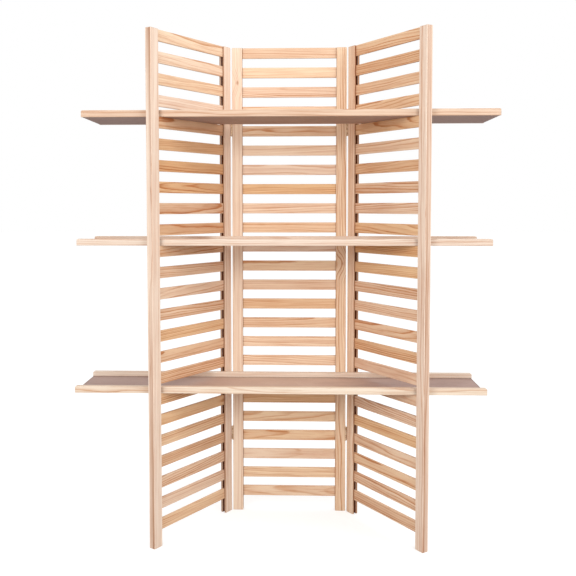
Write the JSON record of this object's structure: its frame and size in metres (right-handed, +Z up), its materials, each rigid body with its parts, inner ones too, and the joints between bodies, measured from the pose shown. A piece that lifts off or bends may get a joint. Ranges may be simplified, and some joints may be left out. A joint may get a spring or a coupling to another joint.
{
  "type": "folding bookcase",
  "caption": "Folding slatted screen in three hinged leaves, with long lipped shelves laid through the slats of its two side leaves.",
  "frame": {"origin": "bottom centre of the whole object's box, on the floor", "axes": "+Z up, +X to the right along the middle leaf seen from the open front, +Y from the front to the middle leaf at the back"},
  "size_m": [1.3926, 0.373, 1.7],
  "materials": {
    "pine_stile": "planed and sanded pine, bare or with a thin satin sealer",
    "pine_slat": "planed and sanded pine, warmer from slat to slat",
    "pine_rail": "planed and sanded pine with eased edges",
    "shelf_board": "thin board with a grey-brown stain, matt",
    "hinge_brass": "brassed steel, dulled",
    "screw_brass": "brassed, cross recess",
    "brad_steel": "bright steel, flush with the board"
  },
  "bodies": {
    "centre_leaf": {"centre_left_stile": "pine_stile", "centre_right_stile": "pine_stile", "centre_slats_1": "pine_slat", "centre_slats_2": "pine_slat", "centre_slats_3": "pine_slat", "centre_slats_4": "pine_slat", "centre_slats_5": "pine_slat", "centre_slats_6": "pine_slat", "centre_slats_7": "pine_slat", "centre_slats_8": "pine_slat", "left_upper_hinge_fixed_plate": "hinge_brass", "left_upper_hinge_pin": "hinge_brass", "right_upper_hinge_fixed_plate": "hinge_brass", "right_upper_hinge_pin": "hinge_brass", "left_lower_hinge_fixed_plate": "hinge_brass", "left_lower_hinge_pin": "hinge_brass", "right_lower_hinge_fixed_plate": "hinge_brass", "right_lower_hinge_pin": "hinge_brass", "centre_hinge_screws": "screw_brass"},
    "left_leaf": {"left_front_stile": "pine_stile", "left_hinge_stile": "pine_stile", "left_slats_1": "pine_slat", "left_slats_2": "pine_slat", "left_slats_3": "pine_slat", "left_slats_4": "pine_slat", "left_slats_5": "pine_slat", "left_slats_6": "pine_slat", "left_slats_7": "pine_slat", "left_slats_8": "pine_slat", "left_upper_hinge_moving_plate": "hinge_brass", "left_lower_hinge_moving_plate": "hinge_brass", "left_hinge_screws": "screw_brass"},
    "right_leaf": {"right_hinge_stile": "pine_stile", "right_front_stile": "pine_stile", "right_slats_1": "pine_slat", "right_slats_2": "pine_slat", "right_slats_3": "pine_slat", "right_slats_4": "pine_slat", "right_slats_5": "pine_slat", "right_slats_6": "pine_slat", "right_slats_7": "pine_slat", "right_slats_8": "pine_slat", "right_upper_hinge_moving_plate": "hinge_brass", "right_lower_hinge_moving_plate": "hinge_brass", "right_hinge_screws": "screw_brass"},
    "upper_shelf": {"upper_shelf_board": "shelf_board", "upper_shelf_front_rail": "pine_rail", "upper_shelf_rear_rail": "pine_rail", "upper_shelf_brads": "brad_steel"},
    "middle_shelf": {"middle_shelf_board": "shelf_board", "middle_shelf_front_rail": "pine_rail", "middle_shelf_rear_rail": "pine_rail", "middle_shelf_brads": "brad_steel"},
    "lower_shelf": {"lower_shelf_board": "shelf_board", "lower_shelf_front_rail": "pine_rail", "lower_shelf_rear_rail": "pine_rail", "lower_shelf_brads": "brad_steel"}
  },
  "joints": [
    {"name": "left_leaf_swing", "type": "hinge", "parent": "centre_leaf", "child": "left_leaf", "pos_m": [-0.19615, 0.16066, 0.85], "axis": [0, 0, 1], "range_deg": [0, 60]},
    {"name": "right_leaf_swing", "type": "hinge", "parent": "centre_leaf", "child": "right_leaf", "pos_m": [0.22165, 0.16066, 0.85], "axis": [0, 0, -1], "range_deg": [0, 60]},
    {"name": "upper_shelf_slide", "type": "slide", "parent": "centre_leaf", "child": "upper_shelf", "axis": [1, 0, 0], "range_m": [-0.25, 0.25]},
    {"name": "middle_shelf_slide", "type": "slide", "parent": "centre_leaf", "child": "middle_shelf", "axis": [1, 0, 0], "range_m": [-0.25, 0.25]},
    {"name": "lower_shelf_slide", "type": "slide", "parent": "centre_leaf", "child": "lower_shelf", "axis": [1, 0, 0], "range_m": [-0.25, 0.25]}
  ]
}
